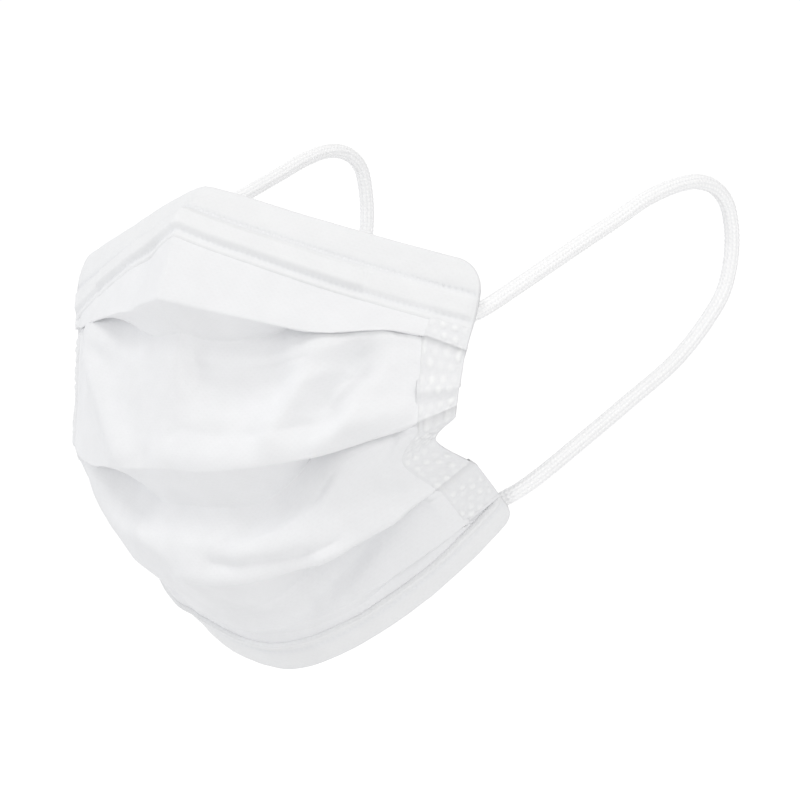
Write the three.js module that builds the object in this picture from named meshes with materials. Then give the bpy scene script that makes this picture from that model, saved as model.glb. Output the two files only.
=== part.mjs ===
// A pleated surgical face mask in the form it has when worn.
// Millimetres, +Z up, +X towards the wearer's left ear, -Y ahead of the face.
// The origin is where the middle of the top edge sits on the bridge of the nose.
import * as THREE from 'three';

// Driving sizes of the worn mask
const faceWidth = 152;      // between the two side edges at the top corners
const faceHeight = 133;     // from the bridge of the nose down to the chin
const noseReach = 15.5;     // how far the nose tip stands ahead of the bridge
const cheekReach = 46;      // how far the lowest corner lies behind the bridge

// Cloth
const clothWall = 1;        // wall of the pleated sheet
const hemWall = 1;          // wall of the folded hem bands
const pieceGap = 0.3;       // gap kept between neighbouring pieces and layers
const stripGap = 0.6;       // gap between the sheet or a hem and the side strips, which bend
const pleatLeg = 12.5;      // height of the cloth hidden in each of the three pleats
const hemFoldLeg = 3;       // height hidden in the small fold over the bottom hem
const tuckBelow = 2;        // how far the cloth runs on under a shut pleat's edge
const hiddenInset = 2.5;    // how far short of the strips the hidden cloth stops
const pocketEase = 0.6;     // share of its depth that a half-open pleat loses, as it is gathered

// Side strips, welded through the stacked pleats
const stripWidth = 11.5;
const stripCorner = 7;      // radius of the strip's top corner
const stripFoot = 4;        // radius of its bottom corner

// Hems, and the wire in the top one
const topHemHeight = 16.5;
const topHemTuck = 6;       // height of the hem's leaf behind the sheet
const bottomHemHeight = 7;
const bottomHemTuck = 5;
const wireWidth = 4;
const wireThickness = 0.8;
const wireDrop = 10;        // from the top edge down to the middle of the wire
const wireLength = 104;
const pocketSlope = 1.5;    // height over which the pocket rises from the hem

// Ear loops
const loopDiameter = 4.2;
const loopSides = 8;
const loopSteps = 58;

// How finely the cloth is cut into facets
const panelColumns = 28;
const hemColumns = 22;
const wireColumns = 16;
const stripColumns = 3;
const cornerRows = 4;
const panelRows = 5;
const legRows = 2;
const lookAcross = 0.01;   // share of the half line between the points that give a direction across

// Sizes that follow
const halfWidth = faceWidth / 2;
const layerPitch = clothWall + pieceGap;
const stackDepth = 2 * layerPitch;
const hemOffset = clothWall / 2 + pieceGap + hemWall / 2;
const hemTop = hemOffset + hemWall / 2;
const wireOffset = clothWall / 2 + pieceGap + wireThickness / 2;
const pocketRise = wireThickness + pieceGap;

// The lines that run across the mask from edge to edge, from the top down to the chin.
// At the middle, ahead is a share of the nose reach and down a share of the face height.
// At the edges, out is a share of half the width and back a share of the cheek reach.
// hold is how far the line runs level from the middle and lean how it comes to the edge,
// out, back and down, all shares of half the width.
const lines = [
  { name: 'top edge', ahead: 0, down: 0.012, hold: 0.1, lean: [0.42, 0.22, 0.1],
    left: { out: 1, back: 0.565, down: 0.15 }, right: { out: 1, back: 0.49, down: 0.19 } },
  { name: 'bridge', ahead: 0.5, down: 0.085, hold: 0.1, lean: [0.4, 0.24, 0.09],
    left: { out: 0.997, back: 0.53, down: 0.22 }, right: { out: 0.997, back: 0.47, down: 0.245 } },
  { name: 'first crest', ahead: 1, down: 0.224, hold: 0.11, lean: [0.46, 0.36, 0.067],
    left: { out: 0.987, back: 0.457, down: 0.313 }, right: { out: 0.987, back: 0.435, down: 0.325 } },
  { name: 'second crest', ahead: 0.62, down: 0.563, hold: 0.32, lean: [0.22, 0.23, -0.15],
    left: { out: 0.987, back: 0.38, down: 0.41 }, right: { out: 0.987, back: 0.425, down: 0.54 } },
  { name: 'waist', ahead: 0.36, down: 0.72, hold: 0.3, lean: [0.24, 0.25, -0.24],
    left: { out: 0.87, back: 0.413, down: 0.481 }, right: { out: 0.95, back: 0.5, down: 0.59 } },
  { name: 'third crest', ahead: 0.15, down: 0.796, hold: 0.29, lean: [0.263, 0.263, -0.316],
    left: { out: 0.947, back: 0.565, down: 0.525 }, right: { out: 0.921, back: 0.652, down: 0.624 } },
  { name: 'hem fold', ahead: -1.12, down: 0.91, hold: 0.26, lean: [0.22, 0.24, -0.27],
    left: { out: 0.94, back: 0.826, down: 0.6 }, right: { out: 0.908, back: 0.804, down: 0.684 } },
  { name: 'bottom edge', ahead: -1.7, down: 0.985, hold: 0.21, lean: [0.263, 0.184, -0.38],
    left: { out: 0.921, back: 0.957, down: 0.635 }, right: { out: 0.895, back: 0.957, down: 0.722 } },
];

// The first crest runs flatter by the wearer's left strip, where the cloth is drawn up. middle and
// reach are shares of the way from the middle to the edge, and rise is a height.
const crestRise = { line: 'first crest', middle: 0.8, reach: 0.3, rise: 4 };

// The pleats, by the line that is their lower edge. leg is the cloth hidden in each one and slack
// how far it stays folded at the middle, where 1 is shut. On each side it starts to close at the
// first share of the way from the middle to the edge, and is shut from the second on.
const pleats = {
  'first crest': { leg: pleatLeg, slack: 0.24, left: [0.1, 0.81], right: [0.1, 0.82] },
  'second crest': { leg: pleatLeg, slack: 0.16, left: [0.15, 0.81], right: [0.15, 0.82] },
  'third crest': { leg: pleatLeg, slack: 0.12, left: [0.3, 0.82], right: [0.3, 0.82] },
  'hem fold': { leg: hemFoldLeg, slack: 0.1, left: [0.4, 0.8], right: [0.4, 0.8] },
};

// The routes of the ear loops, from the top corner round the ear to the bottom corner
const leftLoop = [
  [64.2, 23.8, -33.2], [67.2, 25.8, -32.8], [70, 28.6, -31.8], [71, 34, -29.7], [71, 41, -26.9],
  [71, 54, -21.6],
  [71, 71.5, -14.4], [71, 84, -9.4], [71, 96, -4.3], [71, 109, -0.9], [71, 118.5, -0.2],
  [71, 125.5, -2], [71, 130.5, -6.2], [71, 132.9, -13], [71, 132.9, -21], [71, 129.8, -30.5],
  [71, 122.5, -38.6], [71, 109.3, -48.7], [71, 90, -58.5], [71, 70, -68.2], [71, 52.5, -76.4],
  [69, 47, -79.7], [66.4, 45, -81.5], [64.1, 43, -83.3], [62.1, 41.6, -85.3],
];
const rightLoop = [
  [-64.3, 21.7, -32.2], [-67.2, 23.4, -32.4], [-70, 26.4, -31.6], [-71, 32, -28.8], [-71, 41, -23.6],
  [-71, 54, -18],
  [-71, 71.5, -10.8], [-71, 86, -5.2], [-71, 97, -0.9], [-71, 108, 3.3], [-71, 117, 5.2],
  [-71, 125, 4.2], [-71, 130.5, 0], [-71, 132.9, -8], [-71, 133.2, -18], [-71, 130, -30.5],
  [-71, 122.5, -40.6], [-71, 109.3, -51.7], [-71, 90, -63.5], [-71, 70, -75.2], [-71, 52.5, -86.4],
  [-68.2, 48, -90.5], [-65, 45.6, -92.9], [-62, 43.4, -94.8], [-60.2, 41.9, -96.7],
];

const clothColour = { color: 0xf4f5f8, roughness: 0.85, metalness: 0 };
const finishes = {
  sheet: new THREE.MeshStandardMaterial(clothColour),
  hem: new THREE.MeshStandardMaterial({ ...clothColour, color: 0xf7f8fa }),
  strip: new THREE.MeshStandardMaterial({ ...clothColour, color: 0xf0f1f5, roughness: 0.7 }),
  wire: new THREE.MeshStandardMaterial({ color: 0xf2f2f0, roughness: 0.5, metalness: 0 }),
  loop: new THREE.MeshStandardMaterial({ color: 0xf5f5f5, roughness: 0.9, metalness: 0 }),
};

const vec = (x, y, z) => new THREE.Vector3(x, y, z);
const mix = THREE.MathUtils.lerp;
const ease = (value, from, to) => THREE.MathUtils.smoothstep(value, from, to);
const range = (from, to, steps) => Array.from({ length: steps + 1 }, (_, k) => mix(from, to, k / steps));

// Half of a line, from the middle to one edge, as a curve on the +X side
function halfLine(line, side) {
  const middle = vec(0, -line.ahead * noseReach, -line.down * faceHeight);
  const edge = vec(side.out * halfWidth, side.back * cheekReach, -side.down * faceHeight);
  const [out, back, down] = line.lean;
  const level = middle.clone().setX(line.hold * halfWidth);
  const lean = edge.clone().sub(vec(out * halfWidth, back * halfWidth, -down * halfWidth));
  return new THREE.CubicBezierCurve3(middle, level, lean, edge);
}
const halves = lines.map((line) => ({ left: halfLine(line, line.left), right: halfLine(line, line.right) }));

// A point of a line: t runs from -1 at the wearer's right edge to 1 at the left one
function linePoint(index, t) {
  const half = t < 0 ? halves[index].right : halves[index].left;
  const point = half.getPointAt(Math.min(Math.abs(t), 1));
  if (lines[index].name === crestRise.line && t > 0) {
    point.z += crestRise.rise * (1 - ease(Math.abs(t - crestRise.middle), 0, crestRise.reach));
  }
  return t < 0 ? point.setX(-point.x) : point;
}

// The direction across the mask along a line
function lineAcross(index, t) {
  const from = linePoint(index, Math.max(t - lookAcross, -1));
  return linePoint(index, Math.min(t + lookAcross, 1)).sub(from).normalize();
}

// The unit vector into the hollow, from a direction across the cloth and one down it
const inward = (across, down) => across.clone().cross(down).normalize();

// A point at a distance along a row of points, carried straight on past either end
function alongPoints(points, distance) {
  let left = distance;
  let k = 0;
  while (k < points.length - 2 && left > points[k].distanceTo(points[k + 1])) {
    left -= points[k].distanceTo(points[k + 1]);
    k += 1;
  }
  const direction = points[k + 1].clone().sub(points[k]).normalize();
  return points[k].clone().addScaledVector(direction, left);
}

// An arc of the cloth from one direction to another, which it turns to through turn
function foldArc(start, along, side, turn) {
  const radius = layerPitch / 2;
  return [turn / 2, turn].map((angle) => start.clone()
    .addScaledVector(along, radius * Math.sin(angle))
    .addScaledVector(side, radius * (1 - Math.cos(angle))));
}

// The angle that a pleat's leg turns through at t, where least is the turn of a flat one. The leg that
// shows gets shorter at a nearly even rate towards the edge, so the turn follows an arc cosine.
function pleatTurn(pleat, t, least) {
  const [starts, shuts] = t < 0 ? pleat.right : pleat.left;
  const closed = THREE.MathUtils.clamp((Math.abs(t) - starts) / (shuts - starts), 0, 1);
  const evenly = mix(closed, ease(closed, 0, 1), 0.5);
  return Math.acos(mix(Math.cos(mix(least, Math.PI, pleat.slack)), -1, evenly));
}

// The middle of the cloth down one column, as one run for each panel: the points of its hidden cloth,
// then those that show. A pleat's leg turns in and up behind the panel above it, and the next panel
// comes down behind both.
function column(t) {
  const runs = [];
  let hidden = [];
  let open = [linePoint(0, t)];
  for (let index = 1; index < lines.length; index += 1) {
    open.push(linePoint(index, t));
    const pleat = pleats[lines[index].name];
    if (!pleat && index < lines.length - 1) continue;
    const curve = new THREE.CatmullRomCurve3(open, false, 'centripetal');
    const panel = curve.getSpacedPoints(panelRows);
    runs.push({ hidden: hidden.slice(0, -1), shown: panel });
    if (!pleat) break;
    const crest = panel[panelRows];
    const arrives = crest.clone().sub(panel[panelRows - 1]).normalize();
    const behind = inward(lineAcross(index, t), arrives);
    const bend = (target, from) => {
      const way = target.clone().sub(from);
      return Math.atan2(way.dot(behind), way.dot(arrives));
    };
    const heading = (angle) => arrives.clone().multiplyScalar(Math.cos(angle))
      .addScaledVector(behind, Math.sin(angle));
    const next = linePoint(index + 1, t);
    const turn = pleatTurn(pleat, t, Math.max(bend(next, crest), 0));
    const folded = turn / Math.PI;
    // Where the pleat is shut, its layers keep to the bend of the panel in front of them. They hardly do
    // so where it is half open, so the share is squared.
    const front = panel.slice().reverse();
    const keepsTo = folded * folded;
    const follow = (distance) => alongPoints(front, distance).sub(crest)
      .addScaledVector(arrives, distance).multiplyScalar(keepsTo);
    const crestArc = foldArc(crest, arrives, behind, turn);
    const legStart = crestArc[1];
    const leg = range(0, pleat.leg, legRows).slice(1).map((distance) => legStart.clone()
      .addScaledVector(heading(turn), distance).add(follow(distance)));
    const valley = leg[legRows - 1];
    const back = mix(bend(next, valley), 0, folded);
    const valleyArc = foldArc(valley, heading(turn), heading(turn - Math.PI / 2), turn - back);
    const lower = valleyArc[1];
    const reach = tuckBelow + pleat.leg * folded;
    const tucked = range(0, reach, legRows + 1).slice(1).map((distance) => lower.clone()
      .addScaledVector(heading(back), distance)
      .add(follow(Math.max(pleat.leg - distance, 0))).sub(follow(pleat.leg)));
    const gather = 4 * pocketEase * folded * (1 - folded);
    hidden = [...crestArc, ...leg, ...valleyArc, ...tucked].map((point) => point.clone()
      .addScaledVector(behind, -gather * point.clone().sub(crest).dot(behind)));
    open = [hidden[hidden.length - 1]];
  }
  return runs;
}

// The grid of unit vectors out of the front of a grid of points, which is columns of rows
function normals(grid) {
  const at = (i, j) => grid[Math.min(Math.max(i, 0), grid.length - 1)][
    Math.min(Math.max(j, 0), grid[0].length - 1)];
  return grid.map((points, i) => points.map((point, j) => {
    const across = at(i + 1, j).clone().sub(at(i - 1, j)).normalize();
    const down = point.clone().sub(at(i, j - 1)).normalize()
      .add(at(i, j + 1).clone().sub(point).normalize());
    return inward(across, down).negate();
  }));
}

// A grid moved out of the front by a distance, which may differ from row to row
function offset(grid, distance) {
  const out = normals(grid);
  const by = typeof distance === 'function' ? distance : () => distance;
  return grid.map((points, i) => points.map((point, j) => point.clone()
    .addScaledVector(out[i][j], by(j))));
}

// One closed skin over a front grid and a back grid of the same size
function shell(front, back) {
  const columns = front.length;
  const rows = front[0].length;
  const points = [...front.flat(), ...back.flat()];
  const indices = [];
  const frontAt = (i, j) => i * rows + j;
  const backAt = (i, j) => columns * rows + frontAt(i, j);
  const quad = (a, b, c, d) => indices.push(a, b, c, a, c, d);
  for (let i = 0; i < columns - 1; i += 1) {
    for (let j = 0; j < rows - 1; j += 1) {
      quad(frontAt(i, j), frontAt(i, j + 1), frontAt(i + 1, j + 1), frontAt(i + 1, j));
      quad(backAt(i, j), backAt(i + 1, j), backAt(i + 1, j + 1), backAt(i, j + 1));
    }
    quad(frontAt(i, 0), frontAt(i + 1, 0), backAt(i + 1, 0), backAt(i, 0));
    quad(frontAt(i, rows - 1), backAt(i, rows - 1), backAt(i + 1, rows - 1), frontAt(i + 1, rows - 1));
  }
  for (let j = 0; j < rows - 1; j += 1) {
    quad(frontAt(0, j), backAt(0, j), backAt(0, j + 1), frontAt(0, j + 1));
    quad(frontAt(columns - 1, j), frontAt(columns - 1, j + 1), backAt(columns - 1, j + 1),
      backAt(columns - 1, j));
  }
  const geometry = new THREE.BufferGeometry();
  geometry.setAttribute('position', new THREE.Float32BufferAttribute(points.flatMap((p) => p.toArray()), 3));
  geometry.setIndex(indices);
  geometry.computeVertexNormals();
  return geometry;
}

// A sheet of cloth about a grid
const clothShell = (grid, wall) => shell(offset(grid, wall / 2), offset(grid, -wall / 2));

// The share of the way from the middle to the edge that is left inside the side strips
const stripShare = stripWidth / halves[0].left.getLength();
const panelShare = 1 - stripShare - stripGap / halves[0].left.getLength();

// The pleated sheet between the two strips
function maskPanel() {
  const inset = 1 - hiddenInset / halfWidth;
  const grid = range(-panelShare, panelShare, panelColumns).map((t) => {
    const inner = column(t * inset);
    return column(t).flatMap((run, k) => [...inner[k].hidden, ...run.shown]);
  });
  return clothShell(grid, clothWall);
}

// The two end panels of the sheet, each as a run of points from the mask's edge inwards
const topPanel = { run: (t) => column(t)[0].shown, faces: -1 };
const bottomPanel = { run: (t) => column(t).pop().shown.reverse(), faces: 1 };

// A column of points on an end panel. Each station is a distance in from the mask's edge, negative
// past it, and an offset out of the front of the cloth.
function stationed(panel, t, stations) {
  const [before, here, after] = [t - lookAcross, t, t + lookAcross].map((share) => panel.run(share));
  return stations.map(([distance, off]) => {
    const across = alongPoints(after, distance).sub(alongPoints(before, distance));
    const along = alongPoints(here, distance + 1).sub(alongPoints(here, distance - 1));
    const front = inward(across, along).multiplyScalar(panel.faces);
    return alongPoints(here, distance).addScaledVector(front, off);
  });
}

// The turn of a hem over the edge of the sheet, as stations from the front round to the back
const hemTurn = [0, 45, 90, 135, 180].map((degrees) => {
  const angle = THREE.MathUtils.degToRad(degrees);
  return [-hemOffset * Math.sin(angle), hemOffset * Math.cos(angle)];
});

// The hem along the top: a leaf behind the sheet, a turn over its edge, and a band in front of it
// that rises into a pocket over the wire
function topHem() {
  const wireTop = wireDrop - wireWidth / 2 - pieceGap;
  const wireFoot = wireDrop + wireWidth / 2 + pieceGap;
  const stations = [
    [topHemTuck, -hemOffset],
    ...hemTurn.slice().reverse(),
    [wireTop - pocketSlope, hemOffset],
    [wireTop, hemOffset + pocketRise],
    [wireFoot, hemOffset + pocketRise],
    [wireFoot + pocketSlope, hemOffset],
    [topHemHeight, hemOffset],
  ];
  const grid = range(-panelShare, panelShare, hemColumns).map((t) => stationed(topPanel, t, stations));
  return clothShell(grid, hemWall);
}

// The plain hem along the bottom
function bottomHem() {
  const stations = [
    [bottomHemHeight, hemOffset],
    [bottomHemHeight / 2, hemOffset],
    ...hemTurn,
    [bottomHemTuck, -hemOffset],
  ];
  const grid = range(-panelShare, panelShare, hemColumns).map((t) => stationed(bottomPanel, t, stations));
  return clothShell(grid, hemWall);
}

// The flat wire in the top hem's pocket, which bends over the nose
function noseWire() {
  const share = wireLength / 2 / halves[0].left.getLength();
  const face = (off) => range(-share, share, wireColumns).map((t) => stationed(topPanel, t,
    [[wireDrop - wireWidth / 2, off], [wireDrop + wireWidth / 2, off]]));
  return shell(face(wireOffset + wireThickness / 2), face(wireOffset - wireThickness / 2));
}

// A side strip, as wide as the weld. Its front follows the cloth that shows, so it steps in under the
// edge of each pleat, and its back follows the stack of layers. Its outer corners are round.
// sign is 1 for the wearer's left and -1 for the right.
function sideStrip(sign) {
  const face = clothWall / 2;
  const last = column(sign).length - 1;
  const corner = (radius) => range(0, Math.PI / 2, cornerRows).map((angle) => ({
    past: radius * (1 - Math.cos(angle)) - hemTop, inset: radius * (1 - Math.sin(angle)),
  }));
  const rows = corner(stripCorner).map(({ past, inset }) => (
    { run: 0, place: (points) => alongPoints(points, past), inset, depth: face + stackDepth }));
  rows.push({ run: 0, place: (points) => points[panelRows], inset: 0, depth: face + stackDepth });
  for (let run = 1; run < last; run += 1) {
    range(0, 1, panelRows).forEach((share, k) => rows.push(
      { run, place: (points) => points[k], inset: 0, depth: face + stackDepth * share }));
  }
  rows.push({ run: last, place: (points) => points[0], inset: 0, depth: face + layerPitch });
  corner(stripFoot).reverse().forEach(({ past, inset }) => rows.push(
    { run: last, place: (points) => alongPoints(points.slice().reverse(), past), inset,
      depth: face + layerPitch }));
  const grid = range(0, 1, stripColumns).map((share) => rows.map((row) => {
    const outer = 1 - row.inset / halves[0].left.getLength();
    return row.place(column(sign * mix(1 - stripShare, outer, share))[row.run].shown);
  }));
  if (sign < 0) grid.reverse();
  return shell(offset(grid, face), offset(grid, (j) => -rows[j].depth));
}

// An ear loop: a round cord along its route
function earLoop(route) {
  const section = new THREE.Shape(range(0, 2 * Math.PI, loopSides).slice(1).map((angle) => (
    new THREE.Vector2(Math.cos(angle), Math.sin(angle)).multiplyScalar(loopDiameter / 2))));
  const path = new THREE.CatmullRomCurve3(route.map((point) => vec(...point)), false, 'centripetal');
  return new THREE.ExtrudeGeometry(section, { steps: loopSteps, extrudePath: path });
}

const mask = new THREE.Group();
function add(name, geometry, finish) {
  const mesh = new THREE.Mesh(geometry, finishes[finish]);
  mesh.name = name;
  mask.add(mesh);
}

add('mask_panel', maskPanel(), 'sheet');
add('top_hem', topHem(), 'hem');
add('nose_wire', noseWire(), 'wire');
add('bottom_hem', bottomHem(), 'hem');
add('side_strip_left', sideStrip(1), 'strip');
add('side_strip_right', sideStrip(-1), 'strip');
add('ear_loop_left', earLoop(leftLoop), 'loop');
add('ear_loop_right', earLoop(rightLoop), 'loop');

export default mask;
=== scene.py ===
# %% [markdown]
# # A surgical face mask in its worn form
# The CAD model gives the mask its size, its place and its main folds. This lesson dresses it: a sheet of
# nonwoven cloth with three opened pleats, folded hems with a wire between two rows of welds, side
# strips where the stacked pleats are dot-welded, and two knitted elastic loops.
# All lengths are in metres, +Z is up, +X is the wearer's left and -Y is ahead of the face.

# %% Load the CAD model as a fixed frame
import bisect
import math
from collections import namedtuple

import bmesh
import bpy
import numpy as np
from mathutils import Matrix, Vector, geometry, noise


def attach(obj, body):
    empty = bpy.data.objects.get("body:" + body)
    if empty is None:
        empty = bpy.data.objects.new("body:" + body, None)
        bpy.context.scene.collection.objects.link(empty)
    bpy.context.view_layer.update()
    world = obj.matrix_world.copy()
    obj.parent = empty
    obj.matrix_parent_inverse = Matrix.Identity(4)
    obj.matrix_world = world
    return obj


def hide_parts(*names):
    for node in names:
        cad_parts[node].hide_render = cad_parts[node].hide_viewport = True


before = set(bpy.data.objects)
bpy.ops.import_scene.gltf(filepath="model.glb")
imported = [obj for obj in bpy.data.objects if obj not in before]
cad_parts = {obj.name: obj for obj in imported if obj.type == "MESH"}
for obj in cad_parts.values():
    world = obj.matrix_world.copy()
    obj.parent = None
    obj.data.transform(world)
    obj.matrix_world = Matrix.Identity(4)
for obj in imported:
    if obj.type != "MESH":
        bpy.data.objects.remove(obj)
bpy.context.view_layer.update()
MM = 0.001
print("CAD nodes:", ", ".join(sorted(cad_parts)))

# %% [markdown]
# ## The camera
# A real photographer steps well back and uses a long lens, so that the near side of a small product
# doesn't swell. The camera stands a metre off, 44 degrees round to the wearer's left and a little above
# the mask. A camera looks along its own -Z axis, which to_track_quat turns onto the line of sight.

# %% Make the camera
camera = bpy.data.objects.new("camera", bpy.data.cameras.new("camera"))
bpy.context.scene.collection.objects.link(camera)
camera.location = (0.7324, -0.6841, 0.0395)
camera.rotation_euler = Vector((-0.6915, 0.7160, -0.0958)).to_track_quat("-Z", "Y").to_euler()
camera.data.lens = 170.1
camera.data.sensor_width = 36
camera.data.clip_start = 0.01
bpy.context.scene.camera = camera
bpy.context.scene.view_settings.view_transform = "Standard"
print("camera", round(camera.location.length, 3), "m from the bridge of the nose")

# %% [markdown]
# ## Walking along a row of points
# Cloth and cord are both laid out by distance: a weld row lies 7 mm below an edge, a stitch comes every
# millimetre of a loop. A Trail measures a row of points once and then gives the point at any distance,
# carried straight on past either end.

# %% Measure rows of points
class Trail:
    def __init__(self, points):
        self.points = [Vector(point) for point in points]
        self.marks = [0.0]
        for a, b in zip(self.points, self.points[1:]):
            self.marks.append(self.marks[-1] + (b - a).length)
        self.length = self.marks[-1]

    def at(self, distance):
        k = min(max(bisect.bisect_right(self.marks, distance) - 1, 0), len(self.points) - 2)
        share = (distance - self.marks[k]) / max(self.marks[k + 1] - self.marks[k], 1e-9)
        return self.points[k].lerp(self.points[k + 1], share)

    def spaced(self, steps):
        return [self.at(self.length * k / steps) for k in range(steps + 1)]


def soft_curve(points, pieces=12):
    """A centripetal Catmull-Rom curve through the points, each span drawn as a Bezier."""
    ends = [2 * points[0] - points[1], *points, 2 * points[-1] - points[-2]]
    drawn = [points[0]]
    for before, start, stop, after in zip(ends, ends[1:], ends[2:], ends[3:]):
        in_, mid, out = ((b - a).length ** 0.5 for a, b in ((before, start), (start, stop), (stop, after)))
        leave = (start - before) / in_ - (stop - before) / (in_ + mid) + (stop - start) / mid
        arrive = (stop - start) / mid - (after - start) / (mid + out) + (after - stop) / out
        drawn += geometry.interpolate_bezier(
            start, start + leave * mid / 3, stop - arrive * mid / 3, stop, pieces + 1)[1:]
    return Trail(drawn)


def smooth(value, low, high):
    share = min(max((value - low) / (high - low), 0.0), 1.0)
    return share * share * (3 - 2 * share)


def mix(a, b, share):
    return a + (b - a) * share


# %% [markdown]
# ## The ear loops' routes
# Each loop is one length of round knitted elastic, welded behind a strip's top and bottom corners and
# drawn back round an ear. Its route is the CAD model's own, written again here, because a cord is
# measured along its centreline.

# %% Lay out the two loops
LOOP_DIAMETER = 4.2 * MM
LOOP_ROUTES = {
    "left": [
        (64.2, 23.8, -33.2), (67.2, 25.8, -32.8), (70, 28.6, -31.8), (71, 34, -29.7), (71, 41, -26.9),
        (71, 54, -21.6),
        (71, 71.5, -14.4), (71, 84, -9.4), (71, 96, -4.3), (71, 109, -0.9), (71, 118.5, -0.2),
        (71, 125.5, -2), (71, 130.5, -6.2), (71, 132.9, -13), (71, 132.9, -21), (71, 129.8, -30.5),
        (71, 122.5, -38.6), (71, 109.3, -48.7), (71, 90, -58.5), (71, 70, -68.2), (71, 52.5, -76.4),
        (69, 47, -79.7), (66.4, 45, -81.5), (64.1, 43, -83.3), (62.1, 41.6, -85.3)],
    "right": [
        (-64.3, 21.7, -32.2), (-67.2, 23.4, -32.4), (-70, 26.4, -31.6), (-71, 32, -28.8), (-71, 41, -23.6),
        (-71, 54, -18),
        (-71, 71.5, -10.8), (-71, 86, -5.2), (-71, 97, -0.9), (-71, 108, 3.3), (-71, 117, 5.2),
        (-71, 125, 4.2), (-71, 130.5, 0), (-71, 132.9, -8), (-71, 133.2, -18), (-71, 130, -30.5),
        (-71, 122.5, -40.6), (-71, 109.3, -51.7), (-71, 90, -63.5), (-71, 70, -75.2), (-71, 52.5, -86.4),
        (-68.2, 48, -90.5), (-65, 45.6, -92.9), (-62, 43.4, -94.8), (-60.2, 41.9, -96.7)],
}
loop_trails = {side: soft_curve([Vector(point) * MM for point in route])
               for side, route in LOOP_ROUTES.items()}
for side, trail in loop_trails.items():
    print(side, "loop is", round(trail.length * 1000), "mm long")

# %% [markdown]
# ## A sheet from a grid
# Cloth, hems, strips and the cord's skin are all a grid that has been bent. The create_grid operator
# makes the quads and their UV map, and the helper then moves each corner to its place on the cloth. It
# writes the UV map again in cloth metres, so that a weave keeps its true scale wherever the cloth goes.

# %% Bend a grid into a sheet
def bent_grid(name, places, cloth):
    """places and cloth are arrays of columns of rows: a point, and where it was on the flat cloth."""
    columns, rows = len(places), len(places[0])
    bm = bmesh.new()
    uv = bm.loops.layers.uv.new("UVMap")
    bmesh.ops.create_grid(bm, x_segments=columns - 1, y_segments=rows - 1, size=0.5, calc_uvs=True)
    for corner in bm.verts:
        i = round((corner.co.x + 0.5) * (columns - 1))
        j = round((0.5 - corner.co.y) * (rows - 1))
        corner.co = places[i][j]
        for loop in corner.link_loops:
            loop[uv].uv = cloth[i][j]
    mesh = bpy.data.meshes.new(name)
    bm.to_mesh(mesh)
    bm.free()
    piece = bpy.data.objects.new(name, mesh)
    bpy.context.scene.collection.objects.link(piece)
    for face in mesh.polygons:
        face.use_smooth = True
    return piece


def thicken(piece, wall, offset=0):
    """Gives the sheet its wall: half on each side, or all of it behind where the offset is -1."""
    skin = piece.modifiers.new("wall", "SOLIDIFY")
    skin.thickness = wall
    skin.offset = offset
    return piece


def mark(piece, name, values):
    """Keeps one number for each corner of the mesh. A grid's corners run across it, from its last row up."""
    piece.data.attributes.new(name, "FLOAT", "POINT").data.foreach_set(
        "value", np.asarray(values, np.float32).T[::-1].ravel())


# %% [markdown]
# ## The cloth's lines
# A flat mask opens into its worn form along eight lines that run from side to side: the top edge, the
# bridge of the nose, the three pleat edges, the waist, the fold over the hem and the bottom edge. Each
# half of a line is one Bezier from the middle to an edge. The sizes are the CAD model's, as shares of
# its width, height and depth.

# %% Write down the lines and the pleats
HALF_WIDTH, HEIGHT, NOSE_REACH, CHEEK_REACH = 76 * MM, 133 * MM, 15.5 * MM, 46 * MM
CLOTH_WALL = 0.36 * MM
LAYER_PITCH = 0.44 * MM
TUCK_BELOW = 2 * MM
STRIP_WIDTH = 11.5 * MM

# ahead and down place a line's middle, as shares of NOSE_REACH and HEIGHT. hold is the Bezier's handle at
# the middle and lean its handle at the edge, as shares of HALF_WIDTH. left and right are the line's two
# ends: HALF_WIDTH out, CHEEK_REACH back and HEIGHT down, again as shares.
Line = namedtuple("Line", "name ahead down hold lean left right")
LINES = [
    Line("top edge", 0, 0.012, 0.1, (0.42, 0.22, 0.1), (1, 0.565, 0.15), (1, 0.49, 0.19)),
    Line("bridge", 0.5, 0.085, 0.1, (0.4, 0.24, 0.09), (0.997, 0.53, 0.22), (0.997, 0.47, 0.245)),
    Line("first crest", 1, 0.224, 0.11, (0.46, 0.36, 0.067), (0.987, 0.457, 0.313), (0.987, 0.435, 0.325)),
    Line("second crest", 0.62, 0.563, 0.32, (0.22, 0.23, -0.15), (0.987, 0.38, 0.41), (0.987, 0.425, 0.54)),
    Line("waist", 0.36, 0.72, 0.3, (0.24, 0.25, -0.24), (0.87, 0.413, 0.481), (0.95, 0.5, 0.59)),
    Line("third crest", 0.15, 0.796, 0.29, (0.263, 0.263, -0.316),
         (0.947, 0.565, 0.525), (0.921, 0.652, 0.624)),
    Line("hem fold", -1.12, 0.91, 0.26, (0.22, 0.24, -0.27), (0.94, 0.826, 0.6), (0.908, 0.804, 0.684)),
    Line("bottom edge", -1.7, 0.985, 0.21, (0.263, 0.184, -0.38),
         (0.921, 0.957, 0.635), (0.895, 0.957, 0.722)),
]

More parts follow.
